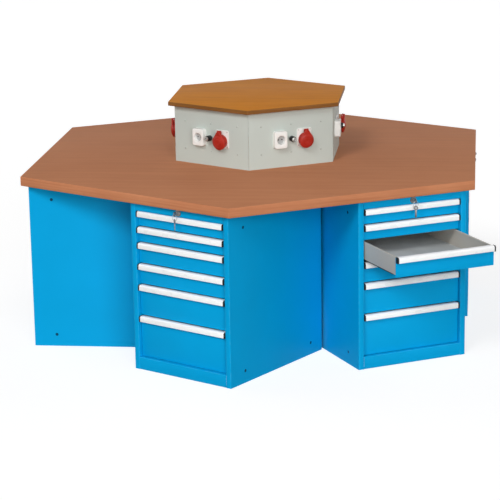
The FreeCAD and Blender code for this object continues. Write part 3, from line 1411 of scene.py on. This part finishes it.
@dataclass
class WhiteSockets:
    """The white plug sockets, one on each tower panel."""

    layout: Layout
    width: float = 0.064
    height: float = 0.082
    depth: float = 0.027
    corner: float = 0.010
    rim: float = 0.0014
    well_radius: float = 0.021
    well_depth: float = 0.0175
    floor_gap: float = 0.0004
    floor_height: float = 0.0012
    pin_gap: float = 0.019
    pin_radius: float = 0.0034
    collar_width: float = 0.0012
    collar_height: float = 0.0018
    collar_taper: float = 0.0004
    hole_profile: Profile = ((0, 0), (1, 0), (1, 0.0016), (0.6, 0.0014), (0, 0.0014))
    clip_width: float = 0.005
    clip_sheet: float = 0.0006
    clip_bend: float = 0.0008
    clip_path: Profile = ((0.003, 0.0), (0.007, 0.0028), (0.016, 0.0012))
    steps: int = 32
    pin_steps: int = 16

    def build(self) -> None:
        """Builds one socket and sets it on every panel."""
        places = on_all_sides(self.layout.on_tower(self.layout.socket_x))
        floor = at(0, -self.depth + self.well_depth, 0) @ OUTWARDS
        piece = Piece()
        piece.add(self.housing(), WHITE_PLASTIC, places)
        # painted shade: the well's floor and the pin collars are grey for the shade in the well
        piece.add(self.well_floor(), WELL_PAINTED_SHADE, [place @ floor for place in places])
        for x in (-self.pin_gap / 2, self.pin_gap / 2):
            spots = [place @ at(x, 0, 0) @ floor for place in places]
            piece.add(self.pin_collar(), WELL_PAINTED_SHADE, spots)
            # painted shade: a dark disc stands for the shade inside each pin hole
            piece.add(self.pin_hole(), DARK_INSERT_AND_PAINTED_SHADE, spots)
        for up in (1, -1):
            piece.add(self.earth_clip(), NICKEL, [place @ Matrix.Diagonal((1, 1, up, 1)) for place in places])
        piece.stand("finished_white_sockets", "bench", "white_plastic", "white_sockets")

    def housing(self) -> Shape:
        """The upright housing bridged to its round well.

        Returns:
            The closed housing.
        """
        shape = fresh()
        half, high = self.width / 2, self.height / 2
        corners = [(-half, -high), (half, -high), (half, high), (-half, high)]
        shape.faces.new([shape.verts.new((x, -self.depth, z)) for x, z in corners])
        bmesh.ops.bevel(
            shape, geom=list(shape.verts), offset=self.corner, affect="VERTICES",
            segments=self.steps // 4 - 1, profile=0.5, material=-1,
        )
        bmesh.ops.delete(shape, geom=list(shape.faces), context="FACES_ONLY")
        outer = list(shape.edges)
        mouth = at(0, -self.depth, 0) @ OUTWARDS @ Matrix.Rotation(math.pi / self.steps, 4, "Z")
        bmesh.ops.create_circle(shape, segments=self.steps, radius=self.well_radius, matrix=mouth)
        inner = [edge for edge in shape.edges if edge not in outer]
        bmesh.ops.bridge_loops(shape, edges=outer + inner)
        for loop, push in ((outer, self.depth), (inner, self.well_depth)):
            made = bmesh.ops.extrude_edge_only(shape, edges=loop)
            push_new(shape, made, (0, push, 0))
            rim = [item for item in made["geom"] if isinstance(item, Edge) and len(item.link_faces) == 1]
            bmesh.ops.edgeloop_fill(shape, edges=rim)
        outward(shape)
        rims = [edge for edge in outer + inner if edge.is_valid]
        return soften(shape, rims, self.rim, segments=3)

    def well_floor(self) -> Shape:
        """The contact carrier at the bottom of the well, in grey: painted shade of the well.

        Returns:
            The carrier, drawn about Z.
        """
        gap, top = self.floor_gap, self.floor_height
        r = self.well_radius - gap
        return turned([(0, -gap), (r, -gap), (r, top / 2), (r - top / 2, top), (0, top)], self.steps)

    def pin_collar(self) -> Shape:
        """The raised collar of a pin hole.

        Returns:
            The collar, drawn about Z.
        """
        r, top = self.pin_radius, self.collar_height
        outer = r + self.collar_width
        profile = [(r, 0), (outer, 0), (outer - self.collar_taper, top), (r, top), (r, 0)]
        return turned(profile, self.pin_steps)

    def pin_hole(self) -> Shape:
        """A dark disc in a pin hole: painted shade of the hole, drawn about Z."""
        return turned(self.hole_profile, self.pin_steps, self.pin_radius)

    def earth_clip(self) -> Shape:
        """The sprung earth contact at the top of the well."""
        path = [(-self.clip_width / 2, y - self.depth, self.well_radius - sag) for y, sag in self.clip_path]
        return folded(path, (self.clip_width, 0, 0), self.clip_sheet, self.clip_bend)


@dataclass
class AirCouplings:
    """The air couplings, one on each tower panel.

    Foot, nose and tip are chamfers: how far each goes inwards and how far along.
    """

    layout: Layout
    radius: float = 0.0135
    length: float = 0.043
    wall: float = 0.003
    bore: float = 0.005
    bore_depth: float = 0.022
    bore_chamfer: float = 0.0006
    nut_radius: float = 0.0135
    nut_height: float = 0.008
    nut_rounding: float = 0.0008
    sleeve_end: float = 0.0065
    grooves: tuple[float, float] = (0.009, 0.0155)
    groove_depth: float = 0.0011
    groove_half: float = 0.0013
    groove_floor: float = 0.0006
    foot: tuple[float, float] = (0.001, 0.0015)
    nose: tuple[float, float] = (0.0018, 0.003)
    tip: tuple[float, float] = (0.0025, 0.005)
    core_start: float = 0.001

    def build(self) -> None:
        """Builds one coupling and sets it on every panel."""
        places = on_all_sides(self.layout.on_tower(self.layout.coupling_x) @ OUTWARDS)
        piece = Piece()
        piece.add(self.nut(), NICKEL, places)
        piece.add(self.sleeve(), BLACK_SLEEVE, places)
        piece.add(self.core(), NICKEL, places)
        piece.stand("finished_air_couplings", "bench", "black_metal", "air_couplings")

    def nut(self) -> Shape:
        """The six-sided nut against the panel.

        Returns:
            The nut, drawn about Z.
        """
        shape = fresh()
        bmesh.ops.create_cone(
            shape, cap_ends=True, segments=6, radius1=self.nut_radius, radius2=self.nut_radius,
            depth=self.nut_height, matrix=at(0, 0, self.nut_height / 2),
        )
        return soften(shape, shape.edges, self.nut_rounding)

    def sleeve(self) -> Shape:
        """The black sleeve with its two grip grooves.

        Returns:
            The sleeve, drawn about Z.
        """
        r, inner, groove = self.radius, self.radius - self.wall, self.radius - self.groove_depth
        low, high = self.nut_height, self.length - self.sleeve_end
        half, floor = self.groove_half, self.groove_floor
        profile = [(inner, low), (r - self.foot[0], low), (r, low + self.foot[1])]
        for z in (low + rise for rise in self.grooves):
            profile += [(r, z - half), (groove, z - floor), (groove, z + floor), (r, z + half)]
        profile += [(r, high - self.nose[1]), (r - self.nose[0], high), (inner, high), (inner, low)]
        return turned(profile)

    def core(self) -> Shape:
        """The bright core with its bore.

        Returns:
            The core, drawn about Z.
        """
        r, bore, end, cut = self.radius - self.wall, self.bore, self.length, self.bore_chamfer
        return turned([
            (0, self.core_start),
            (r, self.core_start),
            (r, end - self.tip[1]),
            (r - self.tip[0], end - cut),
            (bore + 2 * cut, end),
            (bore, end - cut),
            (bore, end - self.bore_depth),
            (0, end - self.bore_depth),
        ])


@dataclass
class RedSockets:
    """The red plug sockets on pale flanges, with their sprung lids.

    Shapes without a place of their own are drawn about the axis of the socket, with Y upwards.
    """

    layout: Layout
    tilt: float = math.radians(5)
    radius: float = 0.032
    wall: float = 0.005
    length: float = 0.022
    well_depth: float = 0.018
    sink: float = 0.014
    rim: float = 0.0012
    rim_start: float = 0.011
    rim_step: float = 0.001
    mouth: float = 0.0008
    drop: float = 0.010
    flange: float = 0.005
    flange_width: float = 0.076
    flange_height: float = 0.088
    flange_corner: float = 0.007
    flange_rounding: float = 0.0015
    screw_radius: float = 0.0034
    screw_margin: float = 0.007
    screw_profile: Profile = ((0, 0), (1, 0), (0.8, 0.0012), (0.3, 0.0015), (0, 0.0010))
    insert_gap: float = 0.0006
    insert_height: float = 0.004
    insert_chamfer: float = 0.001
    pins: int = 5
    pin_ring: float = 0.0145
    pin_radius: float = 0.0031
    pin_wall: float = 0.0011
    pin_low: float = 0.0038
    pin_height: float = 0.0012
    hinge_reach: float = 0.017
    hinge_rise: float = 0.052
    hinge_radius: float = 0.0045
    knuckle: float = 0.007
    knuckle_chamfer: float = 0.0005
    rod_radius: float = 0.0016
    rod_end: float = 0.0008
    lug: float = 0.004
    lug_gap: float = 0.0005
    lug_corner: float = 0.0025
    lug_root: float = 0.006
    rounding: float = 0.0006
    lid_radius: float = 0.037
    lid_apex: float = 0.006
    lid_gap: float = 0.0006
    lid_thickness: float = 0.008
    lid_rounding: float = 0.0032
    crown: float = 0.007
    crown_margin: float = 0.003
    crown_sink: float = 0.002
    crown_foot: float = 0.0002
    crown_steps: Profile = (
        (0.002, 0.22), (0.006, 0.52), (0.011, 0.72), (0.0125, 0.52), (0.0145, 0.52), (0.016, 0.8),
    )
    crown_middle: Profile = ((0.3, 1.0), (0.2, 0.8), (0.0, 0.74))
    seal_gap: float = 0.0008
    seal_width: float = 0.004
    seal_proud: float = 0.0002
    seal_sink: float = 0.001
    steps: int = 40

    @property
    def floor(self) -> float:
        """The bottom of the well along the axis."""
        return self.length - self.well_depth

    @property
    def lid_low(self) -> float:
        """The inner face of the lid along the axis."""
        return self.length + self.lid_gap

    @property
    def lid_high(self) -> float:
        """The outer face of the lid plate along the axis."""
        return self.lid_low + self.lid_thickness

    def base(self) -> Matrix:
        """The middle of the flange's face, turned to the tilted axis of the socket."""
        out = Matrix.Rotation(math.pi / 2 + self.tilt, 4, "X")
        return Matrix.Translation(self.layout.red_hinge) @ out @ at(0, -self.hinge_rise, -self.hinge_reach)

    def hinge(self) -> Matrix:
        """The middle of the hinge, turned along it."""
        return at(0, self.hinge_rise, self.hinge_reach) @ RIGHTWARDS

    def build(self) -> None:
        """Builds one socket and one lid and sets them on every panel."""
        base = self.base()
        sockets, lid = self.socket(base), self.lid()
        sockets.stand("finished_red_sockets", "bench", "red_plastic", "red_sockets")
        for side in Side:
            name = f"red_socket_lid_{side.label}"
            lid.stand(f"finished_{name}", f"{side.label}_red_lid", "red_plastic", name, side.turn @ base)

    def socket(self, base: Matrix) -> Piece:
        """The sockets of all six panels.

        Args:
            base: The middle of the flange's face, turned to the axis of the socket.

        Returns:
            The gathered piece.
        """
        places = on_all_sides(base)
        flats = on_all_sides(Matrix.Translation(base.translation + Vector((0, self.flange, self.drop))))
        size = (self.flange_width, self.flange_height, self.flange)
        piece = Piece()
        piece.add(rounded_plate(*size, self.flange_corner, self.flange_rounding), FLANGE_PLASTIC, flats)
        piece.add(self.screw(), NICKEL, [flat @ spot for flat in flats for spot in self.screw_spots()])
        piece.add(self.body(base), RED_PLASTIC, on_all_sides())
        piece.add(self.insert(), DARK_INSERT_AND_PAINTED_SHADE, places)
        for pin in range(self.pins):
            angle = FULL_TURN * pin / self.pins - math.pi / 2
            spot = at(self.pin_ring * math.cos(angle), self.pin_ring * math.sin(angle), 0)
            piece.add(self.pin_sleeve(), NICKEL, [place @ spot for place in places])
        for x in (self.knuckle + self.lug_gap, -self.knuckle - self.lug_gap - self.lug):
            piece.add(self.hinge_lug(x), RED_PLASTIC, places)
        piece.add(self.hinge_rod(), NICKEL, places)
        return piece

    def lid(self) -> Piece:
        """The lid with its crown, seal, knuckle and arm.

        Returns:
            The gathered piece.
        """
        piece = Piece()
        piece.add(self.lid_plate(), RED_PLASTIC)
        piece.add(self.lid_crown(), RED_PLASTIC)
        piece.add(self.lid_seal(), DARK_INSERT_AND_PAINTED_SHADE)
        piece.add(self.lid_knuckle(), RED_PLASTIC)
        piece.add(self.lid_arm(), RED_PLASTIC)
        return piece

    def screw_spots(self) -> list[Matrix]:
        """The places of the screws in the corners of a flange.

        Returns:
            The four places.
        """
        x, z = self.flange_width / 2 - self.screw_margin, self.flange_height / 2 - self.screw_margin
        corners = ((-x, -z), (-x, z), (x, -z), (x, z))
        return [at(right, -self.flange, up) @ OUTWARDS for right, up in corners]

    def screw(self) -> Shape:
        """A low flange screw."""
        return turned(self.screw_profile, steps=14, radius=self.screw_radius)

    def body(self, base: Matrix) -> Shape:
        """The round body, cut off at the face of the flange.

        Args:
            base: The middle of the flange's face, turned to the axis of the socket.

        Returns:
            The closed body in its place on a side drawn facing -Y.
        """
        r, well, end = self.radius, self.radius - self.wall, self.length
        outer = r + self.rim
        shape = turned(
            [
                (0, -self.sink),
                (r, -self.sink),
                (r, end - self.rim_start),
                (outer, end - self.rim_start + self.rim_step),
                (outer, end - self.rim),
                (r, end),
                (well + self.mouth, end),
                (well, end - self.mouth),
                (well, self.floor),
                (0, self.floor),
            ],
            self.steps,
        )
        shape.transform(base)
        bmesh.ops.bisect_plane(
            shape, geom=[*shape.verts, *shape.edges, *shape.faces], plane_co=base.translation,
            plane_no=Y_AXIS, clear_outer=True,
        )
        bmesh.ops.holes_fill(shape, edges=shape.edges, sides=0)
        return outward(shape, smooth=True)

    def insert(self) -> Shape:
        """The contact carrier at the bottom of the well.

        Returns:
            The carrier.
        """
        r, low, cut = self.radius - self.wall - self.insert_gap, self.floor, self.insert_chamfer
        high = low + self.insert_height
        return turned([(0, low), (r, low), (r, high - cut), (r - cut, high), (0, high)])

    def pin_sleeve(self) -> Shape:
        """One contact sleeve in the carrier.

        Returns:
            The sleeve.
        """
        outer, inner = self.pin_radius, self.pin_radius - self.pin_wall
        low = self.floor + self.pin_low
        high = low + self.pin_height
        profile = [(inner, low), (outer, low), (outer, high), (inner, high), (inner, low)]
        return turned(profile, steps=16)

    def hinge_lug(self, x: float) -> Shape:
        """One of the two lugs that hold the hinge rod.

        Args:
            x: Where the lug starts along the hinge.

        Returns:
            The closed lug.
        """
        r, top = self.hinge_radius, self.hinge_rise
        cut, root = r - self.lug_corner, self.radius - self.lug_root
        outline = [(-r, root), (r, root), (r, top + cut), (cut, top + r), (-cut, top + r), (-r, top + cut)]
        points = [(x, up, self.hinge_reach + out) for out, up in outline]
        return prism(points, (self.lug, 0, 0), self.rounding)

    def along_hinge(self, profile: Profile, steps: int) -> Shape:
        """A shape turned about the hinge.

        Args:
            profile: Points of radius and place along the hinge.
            steps: The number of steps round the hinge.

        Returns:
            The smooth turned shape.
        """
        shape = turned(profile, steps)
        shape.transform(self.hinge())
        return shape

    def hinge_rod(self) -> Shape:
        """The steel rod through lugs and lid."""
        r, half = self.rod_radius, self.knuckle + self.lug_gap + self.lug + self.rod_end
        return self.along_hinge([(0, -half), (r, -half), (r, half), (0, half)], steps=14)

    def lid_knuckle(self) -> Shape:
        """The rolled knuckle round the hinge rod.

        Returns:
            The knuckle.
        """
        r, half, cut = self.hinge_radius, self.knuckle, self.knuckle_chamfer
        inner, end = r - cut, half - cut
        profile = [(0, -half), (inner, -half), (r, -end), (r, end), (inner, half), (0, half)]
        return self.along_hinge(profile, steps=20)

    def lid_plate(self) -> Shape:
        """The drop-shaped lid plate, drawn in to the hinge.

        Returns:
            The closed plate.
        """
        shape = fresh()
        for radius, rise in ((self.lid_radius, 0.0), (self.lid_apex, self.hinge_rise)):
            for z in (self.lid_low, self.lid_high):
                bmesh.ops.create_circle(shape, segments=self.steps, radius=radius, matrix=at(0, rise, z))
        bmesh.ops.convex_hull(shape, input=list(shape.verts))
        loose = [vert for vert in shape.verts if not vert.link_faces]
        bmesh.ops.delete(shape, geom=loose, context="VERTS")
        bmesh.ops.dissolve_limit(
            shape, angle_limit=math.radians(1), verts=list(shape.verts), edges=list(shape.edges)
        )
        outward(shape)
        front = self.lid_high - TINY
        rim = [edge for edge in shape.edges if all(vert.co.z > front for vert in edge.verts)]
        soften(shape, rim, self.lid_rounding, segments=4)
        for face in shape.faces:
            face.smooth = True
        return shape

    def lid_crown(self) -> Shape:
        """The domed middle of the lid with its pressed ring.

        Returns:
            The dome.
        """
        z, r = self.lid_high, self.lid_radius - self.crown_margin
        profile = [(0, z - self.crown_sink), (r, z - self.crown_sink), (r, z + self.crown_foot)]
        profile += [(r - inset, z + self.crown * share) for inset, share in self.crown_steps]
        profile += [(r * out, z + self.crown * share) for out, share in self.crown_middle]
        return turned(profile, self.steps)

    def lid_seal(self) -> Shape:
        """The rubber ring inside the lid.

        Returns:
            The ring.
        """
        low, high = self.lid_low - self.seal_proud, self.lid_low + self.seal_sink
        outer = self.radius - self.seal_gap
        inner = outer - self.seal_width
        return turned([(inner, high), (inner, low), (outer, low), (outer, high), (inner, high)])

    def lid_arm(self) -> Shape:
        """The web between knuckle and lid.

        Returns:
            The closed block.
        """
        half, r = self.knuckle, self.hinge_radius
        near = (-half, self.hinge_rise - r, self.hinge_reach)
        far = (half, self.hinge_rise + r, self.lid_low + self.lid_thickness / 2)
        return block(near, far, self.rounding)


# Studio

@dataclass(frozen=True)
class Softbox:
    """A wide soft light from far away.

    Azimuth is in degrees to the right of the bench's front, elevation in degrees above the floor
    and softness in degrees across. The level is the share of plain white that the light gives a
    surface facing it.
    """

    name: str
    azimuth: float
    elevation: float
    level: float
    softness: float

    def hang(self) -> None:
        """Adds the light to the scene."""
        data = bpy.data.lights.new(self.name, "SUN")
        data.energy = self.level * math.pi
        data.angle = math.radians(self.softness)
        light = bpy.data.objects.new(self.name, data)
        around, up = math.radians(self.azimuth), math.radians(self.elevation)
        towards = Vector((math.sin(around) * math.cos(up), -math.cos(around) * math.cos(up), math.sin(up)))
        light.rotation_mode = "QUATERNION"
        light.rotation_quaternion = towards.to_track_quat("Z", "Y")
        bpy.context.scene.collection.objects.link(light)


@dataclass
class Studio:
    """The camera, the soft lights and the white floor."""

    camera_place: tuple[float, float, float] = (1.0800, -9.6414, 2.8270)
    yaw: float = -0.11702
    pitch: float = 0.25085
    roll: float = 0.01676
    lens: float = 142.82
    sensor: float = 36.0
    softboxes: tuple[Softbox, ...] = (
        Softbox("front_softbox", azimuth=16, elevation=12, level=0.72, softness=40),
        Softbox("left_softbox", azimuth=-20, elevation=37, level=0.38, softness=18),
        Softbox("back_left_softbox", azimuth=-115, elevation=24, level=0.20, softness=50),
        Softbox("back_right_softbox", azimuth=130, elevation=24, level=0.17, softness=60),
    )
    ambient: float = 0.10
    floor_size: float = 160.0
    floor_bounce: float = 0.24
    floor_shade: float = 0.38
    floor_glow: float = 0.77

    def build(self) -> None:
        """Sets the camera, lights, world, floor and view transform."""
        bpy.context.scene.view_settings.view_transform = "Standard"
        self.camera()
        for softbox in self.softboxes:
            softbox.hang()
        self.world()
        self.floor()

    def camera(self) -> None:
        """Makes the camera at the photograph's viewing angle."""
        data = bpy.data.cameras.new("camera")
        data.lens = self.lens
        data.sensor_width = self.sensor
        camera = bpy.data.objects.new("camera", data)
        upright = Matrix.Rotation(math.pi / 2 - self.pitch, 4, "X")
        heading = Matrix.Rotation(-self.yaw, 4, "Z")
        tilt = Matrix.Rotation(-self.roll, 4, "Z")
        camera.matrix_world = Matrix.Translation(self.camera_place) @ heading @ upright @ tilt
        bpy.context.scene.collection.objects.link(camera)
        bpy.context.scene.camera = camera

    @staticmethod
    def seen(tree: Tree) -> Socket:
        """One for rays that show the background itself: from the camera, a mirror or glass.

        Args:
            tree: The tree to add to.

        Returns:
            The value.
        """
        path = node(tree, "LightPath").outputs
        first = combined(tree, "MAXIMUM", path["Is Camera Ray"], path["Is Glossy Ray"])
        return combined(tree, "MAXIMUM", first, path["Is Transmission Ray"])

    def world(self) -> None:
        """A white background that lights the object at a plain level."""
        world = bpy.data.worlds.new("studio")
        bpy.context.scene.world = world
        world.use_nodes = True
        tree = world.node_tree
        background = tree.nodes["Background"]
        background.inputs["Color"].default_value = grey(1.0)
        strength = spread(tree, self.seen(tree), self.ambient, 1.0)
        tree.links.new(strength, background.inputs["Strength"])

    def floor(self) -> None:
        """A pale floor that shows white and keeps the object's shadow."""
        shape = fresh()
        bmesh.ops.create_grid(shape, x_segments=1, y_segments=1, size=self.floor_size / 2)
        mesh = bpy.data.meshes.new("floor")
        shape.to_mesh(mesh)
        shape.free()
        material = bpy.data.materials.new("floor_white")
        material.use_nodes = True
        tree = material.node_tree
        tree.nodes.remove(tree.nodes["Principled BSDF"])
        plain = node(tree, "BsdfDiffuse", {"Color": grey(self.floor_bounce)})
        shaded = node(tree, "BsdfDiffuse", {"Color": grey(self.floor_shade)})
        glow = node(tree, "Emission", {"Color": grey(1.0), "Strength": self.floor_glow})
        bright = node(tree, "AddShader", {0: shaded.outputs[0], 1: glow.outputs[0]})
        mixed = node(tree, "MixShader", {0: self.seen(tree), 1: plain.outputs[0], 2: bright.outputs[0]})
        tree.links.new(mixed.outputs[0], tree.nodes["Material Output"].inputs["Surface"])
        mesh.materials.append(material)
        floor = bpy.data.objects.new("floor", mesh)
        bpy.context.scene.collection.objects.link(floor)


def main() -> None:
    """Builds the bench, its finishes and the studio."""
    logging.basicConfig(level=logging.INFO, format="%(name)s: %(message)s")
    layout = Layout.read()
    shell = CabinetShell(layout)
    Worktop(layout).build()
    shell.build()
    Drawers(shell).build()
    Keys(shell).build()
    for fittings in (Tower, WhiteSockets, AirCouplings, RedSockets):
        fittings(layout).build()
    recoat("cabinet_backs", BLUE_COAT)
    recoat("cabinet_tops", BLUE_COAT)
    recoat("drawer_runners", RUNNER_STEEL)
    recoat("tower_battens", BATTEN_WOOD)
    Studio().build()


if __name__ == "__main__":
    main()
